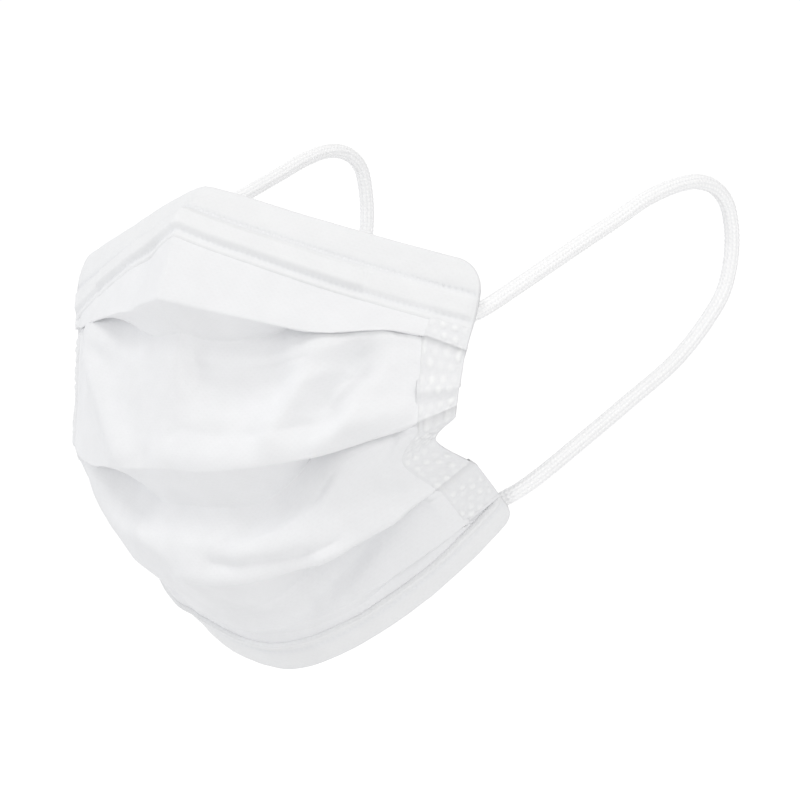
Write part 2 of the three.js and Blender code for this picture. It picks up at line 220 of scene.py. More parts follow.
# leg is the cloth hidden in a pleat and slack how far it stays folded at the middle. On each side the
# pleat starts to close at the first share of the way to the edge, and is shut from the second on.
# ease is the share of its depth that the pleat loses where it is nearly closed, and gathered.
Pleat = namedtuple("Pleat", "leg slack left right ease")
PLEATS = {
    "first crest": Pleat(12.5 * MM, 0.24, (0.1, 0.81), (0.1, 0.82), 0.92),
    "second crest": Pleat(12.5 * MM, 0.16, (0.15, 0.81), (0.15, 0.82), 0.88),
    "third crest": Pleat(12.5 * MM, 0, (0.08, 0.82), (0.3, 0.82), 0.2),
    "hem fold": Pleat(3 * MM, 0.1, (0.4, 0.8), (0.4, 0.8), 0.6),
}


def half_line(line, edge):
    middle = Vector((0, -line.ahead * NOSE_REACH, -line.down * HEIGHT))
    out, back, down = edge
    end = Vector((out * HALF_WIDTH, back * CHEEK_REACH, -down * HEIGHT))
    out, back, down = line.lean
    lean = end - HALF_WIDTH * Vector((out, back, -down))
    return Trail(geometry.interpolate_bezier(
        middle, middle + Vector((line.hold * HALF_WIDTH, 0, 0)), lean, end, 201))


# The first crest runs flatter near the wearer's left strip: (share of the way out, reach, rise)
CREST_RISE = (0.8, 0.3, 4 * MM)

halves = [(half_line(line, line.right), half_line(line, line.left)) for line in LINES]
HALF_ARC = halves[0][1].length
print("half of the top edge is", round(HALF_ARC * 1000, 1), "mm of cloth")

# %% [markdown]
# ## Folding one column of the cloth
# t runs from -1 at the wearer's right edge to 1 at the left one. At each t the cloth comes down its
# first panel to a crest, turns back up behind it by the pleat's leg, turns again and comes down as the
# next panel. Near the middle a worn pleat is pulled open, so the turn there is only a soft bend.

# %% Fold a column
# The rows of the grid down each panel, and round a fold, along a leg and on the tucked cloth
PANEL_ROWS = (34, 44, 40, 30, 14)
ARC_ROWS, LEG_ROWS, TUCK_ROWS = 4, 10, 6
# The share of a soft start and stop in the way a pleat closes
SHUTS_SOFTLY = 0.9
# A pleat is gathered most where it is nearly shut, and the peak makes that most the pleat's own ease
GATHER_POWER = 3.3
GATHER_PEAK = (GATHER_POWER / (GATHER_POWER + 1)) ** GATHER_POWER / (GATHER_POWER + 1)
# A small step in t, to measure a direction across the cloth with
NEARBY = 0.01


def line_point(index, t):
    trail = halves[index][t >= 0]
    point = trail.at(min(abs(t), 1) * trail.length)
    if LINES[index].name == "first crest" and t > 0:
        middle, reach, rise = CREST_RISE
        point.z += rise * (1 - smooth(abs(t - middle), 0, reach))
    return point if t >= 0 else Vector((-point.x, point.y, point.z))


def line_across(index, t):
    return (line_point(index, min(t + NEARBY, 1)) - line_point(index, max(t - NEARBY, -1))).normalized()


def fold_arc(start, along, side, turn):
    radius = LAYER_PITCH / 2
    return [start + along * radius * math.sin(angle) + side * radius * (1 - math.cos(angle))
            for angle in (turn * k / ARC_ROWS for k in range(1, ARC_ROWS + 1))]


def column(t):
    """One list of points for each panel: (its hidden cloth, the cloth that shows)."""
    runs, hidden, open_points, panel_number = [], [], [line_point(0, t)], 0
    for index in range(1, len(LINES)):
        open_points.append(line_point(index, t))
        pleat = PLEATS.get(LINES[index].name)
        if not pleat and index < len(LINES) - 1:
            continue
        rows = PANEL_ROWS[panel_number]
        panel = soft_curve(open_points).spaced(rows)
        runs.append((hidden[:-1], panel))
        panel_number += 1
        if not pleat:
            break
        crest = panel[-1]
        # The way in which the last fifth of the panel comes down to the crest
        arrives = (crest - panel[-1 - rows // 5]).normalized()
        behind = line_across(index, t).cross(arrives).normalized()

        def bend(target, start):
            way = target - start
            return math.atan2(way.dot(behind), way.dot(arrives))

        def heading(angle):
            return arrives * math.cos(angle) + behind * math.sin(angle)

        front = Trail(panel[::-1])

        def follow(distance):
            return (front.at(distance) - crest + arrives * distance) * folded ** 2

        # The leg that shows gets shorter at a nearly even rate, so the turn follows an arc cosine
        below = line_point(index + 1, t)
        least = mix(max(bend(below, crest), 0), math.pi, pleat.slack)
        starts, shuts = pleat.right if t < 0 else pleat.left
        closed = min(max((abs(t) - starts) / (shuts - starts), 0), 1)
        turn = math.acos(mix(math.cos(least), -1, mix(closed, smooth(closed, 0, 1), SHUTS_SOFTLY)))
        folded = turn / math.pi
        crest_arc = fold_arc(crest, arrives, behind, turn)
        legs = [pleat.leg * k / LEG_ROWS for k in range(1, LEG_ROWS + 1)]
        leg = [crest_arc[-1] + heading(turn) * distance + follow(distance) for distance in legs]
        valley = leg[-1]
        back = mix(bend(below, valley), 0, folded)
        valley_arc = fold_arc(valley, heading(turn), heading(turn - math.pi / 2), turn - back)
        reach = TUCK_BELOW + pleat.leg * folded
        tucked = [valley_arc[-1] + heading(back) * distance
                  + follow(max(pleat.leg - distance, 0)) - follow(pleat.leg)
                  for distance in (reach * k / TUCK_ROWS for k in range(1, TUCK_ROWS + 1))]
        # A nearly closed pleat is gathered, so it stands in less far than its leg is long
        gather = pleat.ease * folded ** GATHER_POWER * (1 - folded) / GATHER_PEAK
        hidden = [point - behind * (gather * (point - crest).dot(behind))
                  for point in [*crest_arc, *leg, *valley_arc, *tucked]]
        open_points = [hidden[-1]]
    return runs


middle_column = [point for hidden, shown in column(0.0) for point in hidden + shown]
print("one column of the cloth has", len(middle_column), "points and",
      round(Trail(middle_column).length * 1000), "mm of cloth")

# %% [markdown]
# ## The pleated sheet
# The real sheet is three plies of nonwoven, welded only round its edges, so it moves as one cloth.
# One grid takes the whole of it, folds and all, from edge to edge. The sheet is its middle part, and
# the hems and the side strips are laid on the same grid later, so that they fit it everywhere.

# %% Lay out the sheet
CLOTH_COLUMNS, STRIP_ZONE_COLUMNS = 206, 12
# The hidden cloth stops this far short of the sheet's edges
HIDDEN_INSET = 2.5 * MM


def folded_cloth():
    """Arrays of the cloth's points, and of the panel and the share down it at each row."""
    places = []
    for i in range(CLOTH_COLUMNS + 1):
        t = mix(-1, 1, i / CLOTH_COLUMNS)
        inner = column(t * (1 - HIDDEN_INSET / HALF_WIDTH))
        places.append([point for (_, shown), (hidden, _) in zip(column(t), inner)
                       for point in [*hidden, *shown]])
    panels, shares = [], []
    for number, (hidden, shown) in enumerate(column(0.0)):
        panels += [-1] * len(hidden) + [number] * len(shown)
        shares += [0.0] * len(hidden) + [k / (len(shown) - 1) for k in range(len(shown))]
    return np.array(places), np.array(panels), np.array(shares)


cloth_points, row_panels, row_shares = folded_cloth()
print("the cloth is a grid of", cloth_points.shape[0], "by", cloth_points.shape[1])


def outward(points):
    """The unit vectors out of the front of a grid of points."""
    across = np.gradient(points, axis=0)
    down = np.gradient(points, axis=1)
    normal = np.cross(down, across)
    return normal / np.maximum(np.linalg.norm(normal, axis=2, keepdims=True), 1e-12)


def flat_cloth(points):
    """Where each point of a grid was on the flat cloth: across and down, in metres."""
    middle = points[len(points) // 2]
    down = np.concatenate([[0], np.cumsum(np.linalg.norm(np.diff(middle, axis=0), axis=1))])
    step = np.linalg.norm(np.diff(points[:, 0], axis=0), axis=1)
    across = np.concatenate([[0], np.cumsum(step)])
    return np.stack(np.broadcast_arrays(across[:, None], -down[None, :] + down[-1]), axis=2)


# %% [markdown]
# ## Soft dents and creases
# Worn cloth shows how it was folded: ridges run slantwise from where a pleat opens, shallow hollows lie
# between them, and press lines cross the panels. Each is one stroke over a panel, given by shares
# across and down, and the cloth moves out or in under it like clay under a finger.

# %% Press the strokes into the sheet
# Height and width are in millimetres. A path's points are shares across, from -1 to 1, and down the panel.
# A sharp stroke comes to a crease, and the others are round.
Stroke = namedtuple("Stroke", "panel height width sharp path")
STROKES = [
    # The hollow below the top hem on the left cheek, and the nose's ridge and its flank
    Stroke(0, -0.9, 5, False, [(0.36, 0.7), (0.5, 0.7), (0.6, 0.72)]),
    Stroke(0, 2.2, 7, True, [(0, 0.2), (0, 1)]),
    Stroke(0, -1.3, 6, False, [(-0.2, 0.65), (-0.24, 1)]),
    # The slanting ridge from where the first pleat opens, and the hollows on its two sides
    Stroke(1, 2.6, 4.5, False, [(0.52, 0.2), (0.46, 0.42), (0.38, 0.68)]),
    Stroke(1, -3.6, 6, False, [(0.66, 0.18), (0.65, 0.34), (0.6, 0.5)]),
    Stroke(1, 2.4, 5, False, [(0.77, 0.25), (0.73, 0.45), (0.66, 0.66)]),
    Stroke(1, -3.8, 8, False, [(0.1, 0.2), (0.24, 0.3), (0.38, 0.24)]),
    # The cloth that closes the first pleat's mouth on both sides
    Stroke(1, 1.2, 3.5, False, [(0.47, 0), (0.77, 0)]),
    Stroke(1, 1.2, 3.5, False, [(-0.5, 0), (-0.75, 0)]),
    Stroke(1, -1.2, 2.5, True, [(0.08, 0.03), (0.3, 0.04), (0.5, 0.03)]),
    # The press line over the second crest, and the lip below it
    Stroke(1, -1.1, 3, True, [(-0.05, 0.68), (0.2, 0.67), (0.45, 0.68), (0.6, 0.7), (0.9, 0.72)]),
    Stroke(1, 1.5, 5, False, [(-0.1, 0.9), (0.3, 0.92), (0.6, 0.92), (0.9, 0.9)]),
    Stroke(1, 2.2, 5, False, [(0.58, 0.84), (0.75, 0.84), (0.9, 0.8)]),
    # The ridge on the far cheek, and the slanting shade beside it
    Stroke(1, 2.6, 6, False, [(-0.6, 0.15), (-0.5, 0.4), (-0.34, 0.85)]),
    # Under the second crest, and the low folds over the third
    Stroke(2, -2.0, 6, False, [(0.22, 0.12), (0.38, 0.18), (0.5, 0.2)]),
    Stroke(2, 1.5, 3.5, False, [(0.2, 0.55), (0.42, 0.66), (0.6, 0.74), (0.8, 0.78)]),
    Stroke(2, -1.8, 2.2, True, [(0.08, 0.64), (0.26, 0.72), (0.42, 0.84), (0.55, 0.86)]),
    Stroke(2, 2.2, 4.5, False, [(-0.03, 0.88), (0.2, 0.92), (0.35, 0.94), (0.52, 0.96)]),
    Stroke(2, 2.4, 3.5, False, [(0.48, 0.97), (0.6, 0.98), (0.73, 0.99)]),
    Stroke(2, 0.8, 3, False, [(-0.3, 0.3), (-0.15, 0.6), (-0.1, 0.9)]),
    # Under the third crest
    Stroke(3, -2.2, 5, False, [(0.05, 0.3), (0.25, 0.3)]),
    Stroke(3, -1.9, 4, False, [(0.36, 0.12), (0.5, 0.03), (0.72, 0.02)]),
]
SHARP_FALL = 1.4
# The millimetres at a panel's foot that lie over a leg and the top of the next panel, those in which that
# ends, and the share of a dent that the stacked layers hold back there
PRESS_FREE, PRESS_ENDS, STACK_HOLDS = 17, 3, 0.8
# The millimetres at a panel's top that lie under a crest, and the height from which a ridge is kept low there
COVERED_TOP, HIGH_RIDGE = 7, 1.5
# The shares of the way out between which the pleats press shut, and the cloth is held flat by its strip
CLOSING, HELD_FLAT = (0.5, 0.72), (0.78, 0.88)


def stroke_lift(points, panels, shares):
    """How far the strokes move each point of the sheet out, in metres."""
    lift = np.zeros(points.shape[:2])
    across = np.linspace(-1, 1, len(points))
    closing = np.array([smooth(abs(t), *CLOSING) for t in across])[:, None]
    for stroke in STROKES:
        rows = np.where(panels == stroke.panel)[0]
        lengths = np.linalg.norm(np.diff(points[:, rows], axis=1), axis=2).sum(axis=1)
        here = np.stack([np.repeat(across[:, None] * HALF_ARC, len(rows), axis=1),
                         lengths[:, None] * shares[rows][None, :]], axis=2) / MM
        path = [np.array([t * HALF_ARC, share * np.interp(t, across, lengths)]) / MM
                for t, share in stroke.path]
        away = np.full(here.shape[:2], 1e9)
        for a, b in zip(path, path[1:]):
            along = np.clip(((here - a) @ (b - a)) / ((b - a) @ (b - a)), 0, 1)
            away = np.minimum(away, np.linalg.norm(here - (a + along[..., None] * (b - a)), axis=2))
        round_profile = np.exp(-(away / stroke.width) ** 2)
        profile = np.exp(-away / stroke.width * SHARP_FALL) if stroke.sharp else round_profile
        # A panel's top lies under the crest above it, so nothing rises far there
        rises_far = stroke.panel > 0 and stroke.height > HIGH_RIDGE
        covered = np.clip(here[..., 1] / COVERED_TOP, 0, 1) if rises_far else 1
        # Over a pleat's folded leg, near the panel's foot, the cloth can't be pressed in far
        over_leg = np.clip((PRESS_FREE + here[..., 1] - lengths[:, None] / MM) / PRESS_ENDS, 0, 1)
        stacked = 1 - STACK_HOLDS * closing * over_leg if stroke.height < 0 else 1
        lift[:, rows] += stroke.height * MM * profile * covered * stacked
    return np.array([1 - smooth(abs(t), *HELD_FLAT) for t in across])[:, None] * lift


def pressed(points, panels, shares):
    """The sheet with its strokes. Hidden cloth moves with the panels that it joins."""
    moved = outward(points) * stroke_lift(points, panels, shares)[..., None]
    shown = np.where(panels >= 0)[0]
    for row in np.where(panels < 0)[0]:
        above, below = shown[shown < row].max(), shown[shown > row].min()
        share = (row - above) / (below - above)
        moved[:, row] = mix(moved[:, above], moved[:, below], share)
    return points + moved


# The shares of the way out between which the easing of the bends fades, and how often the bends are eased
EASED, EASING_ROUNDS = (0.2, 0.6), 5
RIPPLE_SIZE, RIPPLE_HEIGHT = 14 * MM, 0.28 * MM


def relaxed(points):
    """The sheet with its bends eased where the pleats stand open, as pressed cloth eases in wear."""
    across = np.linspace(-1, 1, len(points))
    ease = np.array([1 - smooth(abs(t), *EASED) for t in across])[:, None, None]
    for _ in range(EASING_ROUNDS):
        to_middle = (points[:, :-2] + points[:, 2:]) / 2 - points[:, 1:-1]
        points = points.copy()
        points[:, 1:-1] += 0.5 * ease * to_middle
    return points


def crumpled(points):
    """Small uneven ripples, wide ones and finer ones, as thin plies take them when they are handled."""
    flat = flat_cloth(points) / RIPPLE_SIZE
    ripple = np.array([[noise.noise(Vector((u * 0.8, v * 1.5, 3.0)))
                        + 0.4 * noise.noise(Vector((u * 3, v * 4, 7.0)))
                        for u, v in row] for row in flat])
    return points + outward(points) * (RIPPLE_HEIGHT * ripple)[..., None]


cloth_points = crumpled(relaxed(pressed(cloth_points, row_panels, row_shares)))
between_strips = slice(STRIP_ZONE_COLUMNS, -STRIP_ZONE_COLUMNS)
sheet = thicken(bent_grid("pleated_sheet", cloth_points[between_strips],
                          flat_cloth(cloth_points)[between_strips]), CLOTH_WALL)
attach(sheet, "root")
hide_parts("mask_panel")
print("pleated sheet:", len(sheet.data.polygons), "quads")

# %% [markdown]
# ## Knitted elastic loops
# The loops are knitted round, so fine stitches run along them in columns. A tube of plain circles would
# look like wire: the radius here swells at each stitch, staggered from one column to the next.

# %% Knit the loops
# A wale is a column of stitches
LOOP_WALES = 10
STITCH = 1.3 * MM
LOOP_AROUND, RINGS_PER_STITCH = 40, 4
# Shares of the radius: the round core, the swell of a wale and of a stitch. A stitch slants across its wale.
CORE, WALE_SWELL, STITCH_SWELL, STITCH_SLANT = 0.9, 0.10, 0.05, 2.2


def knitted_loop(side, trail):
    steps = round(trail.length / (STITCH / RINGS_PER_STITCH))
    places, cloth = [], []
    side_way = Vector((1, 0, 0))
    for i in range(steps + 1):
        distance = trail.length * i / steps
        ahead = (trail.at(distance + MM) - trail.at(distance - MM)).normalized()
        side_way = (side_way - ahead * side_way.dot(ahead)).normalized()
        other_way = ahead.cross(side_way)
        places.append([])
        cloth.append([])
        for j in range(LOOP_AROUND + 1):
            angle = 2 * math.pi * j / LOOP_AROUND
            wale = angle * LOOP_WALES / 2
            along = 2 * math.pi * distance / STITCH
            stitch = math.cos(along + STITCH_SLANT * abs(math.sin(wale)))
            swell = abs(math.cos(wale)) ** 0.7 * WALE_SWELL + STITCH_SWELL * stitch
            radius = LOOP_DIAMETER / 2 * (CORE + swell)
            point = trail.at(distance) + (side_way * math.cos(angle) + other_way * math.sin(angle)) * radius
            places[-1].append(point)
            cloth[-1].append((distance, math.pi * LOOP_DIAMETER * j / LOOP_AROUND))
    piece = bent_grid("elastic_loop_" + side, places, cloth)
    bm = bmesh.new()
    bm.from_mesh(piece.data)
    bmesh.ops.remove_doubles(bm, verts=bm.verts, dist=1e-6)
    bmesh.ops.holes_fill(bm, edges=[edge for edge in bm.edges if edge.is_boundary], sides=0)
    bmesh.ops.recalc_face_normals(bm, faces=bm.faces)
    bm.to_mesh(piece.data)
    bm.free()
    return piece


loops = []
for side, trail in loop_trails.items():
    loop = knitted_loop(side, trail)
    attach(loop, "root")
    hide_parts("ear_loop_" + side)
    trail.at(0)
    trail.spaced(120)
    loops.append(loop)
    print(loop.name, len(loop.data.polygons), "faces")

# %% [markdown]
# ## Places on a panel, by distance
# The hems lie on the top or the bottom panel, at a distance in from the mask's edge and an offset out of
# the cloth. A negative distance is past the edge, where a hem turns over. The strips lie on all panels.

# %% Place stations on a panel
def panel_run(number, t):
    """One panel's points down the finished cloth at t."""
    rows = np.where(row_panels == number)[0]
    place = (t + 1) / 2 * CLOTH_COLUMNS
    i = min(max(int(place), 0), CLOTH_COLUMNS - 1)
    return mix(cloth_points[i, rows], cloth_points[i + 1, rows], place - i)


def top_run(t):
    return panel_run(0, t)


def bottom_run(t):
    return panel_run(4, t)[::-1]


def stations(run, faces, t, wanted):
    before, here, after = (Trail(run(share)) for share in (t - NEARBY, t, t + NEARBY))
    placed = []
    for distance, off in wanted:
        across = after.at(distance) - before.at(distance)
        along = here.at(distance + MM) - here.at(distance - MM)
        placed.append(here.at(distance) + across.cross(along).normalized() * (off * faces))
    return placed


# %% [markdown]
# ## The hems
# The outer ply is folded over the edge of the cloth and welded. On the top hem two rows of tiny dots hold
# the wire between them, so the band swells over the wire and dips at the dots. The bottom hem has one
# row. The hems run on over the side strips to round corners, where all the layers are welded as one.

# %% Fold the hems
HEM_WALL = 0.12 * MM
HEM_OFFSET = 0.5 * MM
HEM_PAST = 1 * MM
# The rows of the band lie this far apart, and its last two step down onto the cloth
ROW_STEP, FOOT_STEP = 0.4 * MM, 0.3 * MM
LEAF_ROWS, TURN_STEPS = 4, 6
BAND_FROM = LEAF_ROWS + TURN_STEPS + 1
# Behind a side strip the leaf stands back by the strip's depth, from this slope on
STRIP_BACK, STRIP_SLOPE = 1.45 * MM, 1.5 * MM
# The pocket and the welds fade out at the hem's very end
HEM_END = 2 * MM
# A row of welds is a shallow groove, in shares of a dot's radius and depth, with deeper dots in it
GROOVE_WIDTH, GROOVE_SHARE, DOT_SHARE, DOT_FLAT = 1.6, 0.45, 0.55, 0.3
# corners are the radii of the hem's ends, at the wearer's right and left. faces is -1 where the run goes
# down from the edge and 1 where it goes up, so that an offset is always out of the front.
Hem = namedtuple("Hem", "run faces height tuck corners welds columns")
WeldRow = namedtuple("WeldRow", "distance pitch radius depth")
TOP_HEM = Hem(top_run, -1, 15.6 * MM, 6 * MM, (12 * MM, 7 * MM), [
    WeldRow(6.6 * MM, 1.7 * MM, 0.65 * MM, 0.5 * MM), WeldRow(14 * MM, 1.7 * MM, 0.65 * MM, 0.42 * MM)], 400)
BOTTOM_HEM = Hem(bottom_run, 1, 7 * MM, 5 * MM, (4 * MM, 4 * MM), [
    WeldRow(4.6 * MM, 1.9 * MM, 0.65 * MM, 0.26 * MM)], 320)


def weld_dip(rows, across, distance):
    """How far the dots of the weld rows and the grooves along them press the cloth in."""
    deepest = 0.0
    for row in rows:
        centre = round(across / row.pitch) * row.pitch
        away = math.hypot(across - centre, distance - row.distance) / row.radius
        groove = math.exp(-((distance - row.distance) / (GROOVE_WIDTH * row.radius)) ** 2)
        dot = 1 - smooth(away, DOT_FLAT, 1)
        deepest = max(deepest, row.depth * (GROOVE_SHARE * groove + DOT_SHARE * dot))
    return deepest


def corner_cut(radius, from_side):
    """How far a round corner takes off the end of a column, at a distance in from the mask's side."""
    return radius - math.sqrt(max(radius ** 2 - max(radius - from_side, 0) ** 2, 0))


def hem_column(kind, t, pocket):
    """The stations of a hem at t: the leaf behind the cloth, the turn over its edge and the band."""
    from_side = (1 - abs(t)) * HALF_ARC
    cut = corner_cut(kind.corners[t > 0], from_side)
    front = HEM_OFFSET * mix(0.5, 1, smooth(from_side, 0, MM))
    back = -mix(STRIP_BACK, HEM_OFFSET, smooth(from_side, STRIP_WIDTH, STRIP_WIDTH + STRIP_SLOPE))
    turn = [(cut - HEM_PAST - HEM_OFFSET * math.sin(angle), mix(front, back, (1 - math.cos(angle)) / 2))
            for angle in (math.pi * k / TURN_STEPS for k in range(TURN_STEPS, -1, -1))]
    leaf = [(distance, back) for distance in np.linspace(kind.tuck + cut, cut, LEAF_ROWS)]
    band = []
    for k in range(round(kind.height / ROW_STEP) + 1):
        distance = mix(cut, kind.height, k * ROW_STEP / kind.height)
        lift = pocket(t * HALF_ARC, distance) - weld_dip(kind.welds, t * HALF_ARC, distance)
        band.append((distance, front + lift * smooth(from_side, 0, HEM_END)))
    foot, off = band[-1]
    return [*leaf, *turn, *band, (foot + FOOT_STEP, off / 2), (foot + 2 * FOOT_STEP, 0)]


def hem(name, kind, pocket, node):
    """Folds one hem. pocket gives how far its band swells at a place across and a distance in."""
    places, cloth, welded = [], [], []
    for i in range(kind.columns + 1):
        t = mix(-1, 1, i / kind.columns)
        profile = hem_column(kind, t, pocket)
        places.append(stations(kind.run, kind.faces, t, profile))
        cloth.append([((t + 1) * HALF_ARC, distance if k >= LEAF_ROWS else -distance)
                      for k, (distance, _) in enumerate(profile)])
        welded.append([weld_dip(kind.welds, t * HALF_ARC, distance) / kind.welds[0].depth
                       if k >= BAND_FROM else 0 for k, (distance, _) in enumerate(profile)])
    # Columns that run up the cloth are turned round, so that the faces point outwards
    if kind.faces > 0:
        places, cloth, welded = ([row[::-1] for row in rows] for rows in (places, cloth, welded))
    piece = thicken(bent_grid(name, places, cloth), HEM_WALL)
    mark(piece, "weld", welded)
    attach(piece, "root")
    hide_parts(node)
    print(name, len(piece.data.polygons), "quads")
    return piece


POCKET_TOP, POCKET_FOOT, POCKET_SLOPE = 7 * MM, 13.8 * MM, 1.6 * MM
WIRE_DROP, WIRE_WIDTH, WIRE_THICKNESS = 10 * MM, 4 * MM, 0.7 * MM
# The pocket swells over the wire, and past its end the empty pocket is lower
WIRE_LIFT, EMPTY_LIFT, WIRE_END, WIRE_END_SLOPE = 1.35 * MM, 0.6 * MM, 52 * MM, 1.5 * MM
# The bottom hem thickens to a lip between these distances in
LIP_HEIGHT, LIP_FROM, LIP_TO = 0.8 * MM, 5.2 * MM, 6.6 * MM


def wire_pocket(across, distance):
    lifted = (smooth(distance, POCKET_TOP, POCKET_TOP + POCKET_SLOPE)
              * (1 - smooth(distance, POCKET_FOOT - POCKET_SLOPE, POCKET_FOOT)))
    past_wire = smooth(abs(across), WIRE_END, WIRE_END + WIRE_END_SLOPE)
    return lifted * mix(WIRE_LIFT, EMPTY_LIFT, past_wire)


def hem_lip(_, distance):
    return LIP_HEIGHT * smooth(distance, LIP_FROM, LIP_TO)


top_hem = hem("top_hem_band", TOP_HEM, wire_pocket, "top_hem")
bottom_hem = hem("bottom_hem_band", BOTTOM_HEM, hem_lip, "bottom_hem")

# %% [markdown]
# ## The side strips
# At each side the stacked pleats are pressed flat and welded by staggered rows of dots. The tool presses
# from behind, so the dots stand out on the front, which steps in under the edge of each pleat.

# %% Press the side strips
STRIP_COLUMNS, CORNER_STEPS = 30, 10
STRIP_WALL = 1.3 * MM
# How far the strip stands out of the cloth, at its inner edge, past its slope and under a hem
INNER_RISE, STRIP_RISE, UNDER_HEM_RISE = -0.1 * MM, 0.5 * MM, 0.05 * MM
DOT_PITCH, DOT_RADIUS, DOT_HEIGHT = 2.8 * MM, 1.15 * MM, 0.5 * MM
# Shares: the pitch between rows, how far a dot strays, and the part of its radius that slopes
DOT_ROWS, DOT_STRAY, DOT_SLOPE = 0.87, 0.14, 0.6
# The dots start this far down the cloth and keep this far from the strip's edges
DOTS_FROM, DOT_MARGIN = 15 * MM, 1 * MM
# A buckle across the left strip, by the share down its second panel, and its height and width
BUCKLE_AT, BUCKLE_HEIGHT, BUCKLE_WIDTH = 0.6, 1.4 * MM, 1.3 * MM


def strip_rows(lengths, sign):
    """Each row down a strip: its panel, its distance down that panel and its inset from the side. The
    second list names the rows under a pleat's lip."""
    last = len(lengths) - 1
    foot = lengths[last]
    top, low = TOP_HEM.corners[sign > 0], BOTTOM_HEM.corners[sign > 0]
    corner = [math.pi / 2 * k / CORNER_STEPS for k in range(CORNER_STEPS + 1)]
    rows = [(0, top * (1 - math.cos(angle)) - HEM_PAST, top * (1 - math.sin(angle))) for angle in corner]
    lips = []
    for number, length in enumerate(lengths):
        start = top - HEM_PAST + ROW_STEP if number == 0 else 0
        stop = length + HEM_PAST - low - ROW_STEP if number == last else length
        steps = max(round((stop - start) / ROW_STEP), 2)
        rows += [(number, mix(start, stop, k / steps), 0) for k in range(steps + 1)]
        if number < last:
            lips.append(len(rows))
            rows.append(rows[-1])
    rows += [(last, foot + HEM_PAST - low * (1 - math.cos(angle)), low * (1 - math.sin(angle)))
             for angle in corner[::-1]]
    return rows, lips


def strip_grid(sign):
    """Arrays of a strip's points and of where each was on the cloth, the rows under a pleat's lip, and the
    lengths of the panels."""
    lengths = [Trail(panel_run(number, sign)).length for number in range(len(PANEL_ROWS))]
    rows, lips = strip_rows(lengths, sign)
    places, cloth = [], []
    for i in range(STRIP_COLUMNS + 1):
        inner, share = 1 - STRIP_WIDTH / HALF_ARC, i / STRIP_COLUMNS
        ts = [mix(inner, 1 - inset / HALF_ARC, share) for _, _, inset in rows]
        trails = {(number, t): Trail(panel_run(number, sign * t)) for (number, _, _), t in zip(rows, ts)}
        places.append([])
        cloth.append([])
        for (number, distance, _), t in zip(rows, ts):
            trail = trails[number, t]
            past = max(distance - lengths[number], 0)
            within = (distance - past) / lengths[number] * trail.length if distance > 0 else distance
            places[-1].append(trail.at(within + past))
            cloth[-1].append((t * HALF_ARC, distance + sum(lengths[:number])))
    return np.array(places), np.array(cloth), lips, lengths


def weld_dots(cloth):
    """How far out the weld dots stand, from 0 to 1, with each dot a little out of place as on real cloth."""
    strip_middle = HALF_ARC - STRIP_WIDTH / 2
    across = (cloth[..., 0] - strip_middle) / DOT_PITCH
    down = cloth[..., 1] / (DOT_PITCH * DOT_ROWS)
    row = np.round(down)
    stagger = 0.5 * (row % 2)
    dot = np.round(across - stagger)
    # The numbers in these sines only scatter the dots, in the same way on every run
    stray = DOT_STRAY * np.sin(dot * 12.9 + row * 78.2)
    height = 0.65 + 0.35 * np.sin(dot * 39.3 + row * 11.1)
    away = np.hypot(across - stagger - dot - stray, (down - row + stray) * DOT_ROWS)
    dome = np.clip((1 - away * DOT_PITCH / DOT_RADIUS) / DOT_SLOPE, 0, 1)
    inside = np.abs(cloth[..., 0] - strip_middle) < STRIP_WIDTH / 2 - DOT_MARGIN
    below_corner = np.clip((cloth[..., 1] - DOTS_FROM) / MM, 0, 1)
    return dome * dome * (3 - 2 * dome) * height * inside * below_corner


strips = []
for side, sign in (("left", 1), ("right", -1)):
    places, cloth, lips, lengths = strip_grid(sign)
    if sign < 0:
        places, cloth = places[::-1], cloth[::-1]
    down, foot = cloth[..., 1], sum(lengths)
    dots = weld_dots(cloth)
    from_inner = cloth[..., 0] - (HALF_ARC - STRIP_WIDTH)
    rise = mix(INNER_RISE, STRIP_RISE, np.clip(from_inner / STRIP_SLOPE, 0, 1))
    under_hem = (down < TOP_HEM.height) | (down > foot - BOTTOM_HEM.height)
    rise = np.where(under_hem, np.minimum(rise, UNDER_HEM_RISE), rise + DOT_HEIGHT * dots)
    if side == "left":
        buckle = lengths[0] + BUCKLE_AT * lengths[1]
        rise = rise + BUCKLE_HEIGHT * np.exp(-((down - buckle) / BUCKLE_WIDTH) ** 2)
    out = outward(places)
    # At a pleat's edge the strip steps in by two layers, in the direction of the rows above the step
    rise[:, lips] -= 2 * LAYER_PITCH
    for row in lips:
        out[:, row] = out[:, row - 1] = out[:, row - 2]
    strip = thicken(bent_grid("welded_strip_" + side, places + out * rise[..., None], cloth),
                    STRIP_WALL, offset=-1)
    mark(strip, "weld", np.where(under_hem, 0, dots))
    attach(strip, "root")
    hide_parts("side_strip_" + side)
    strips.append(strip)
    print(strip.name, len(strip.data.polygons), "quads")

# %% [markdown]
# ## The nose wire
# A soft flat wire in a white plastic sheath lies in the top hem's pocket, so that the mask can be pinched
# to the nose. It can't be seen, but the pocket swells over it and shows where it ends.

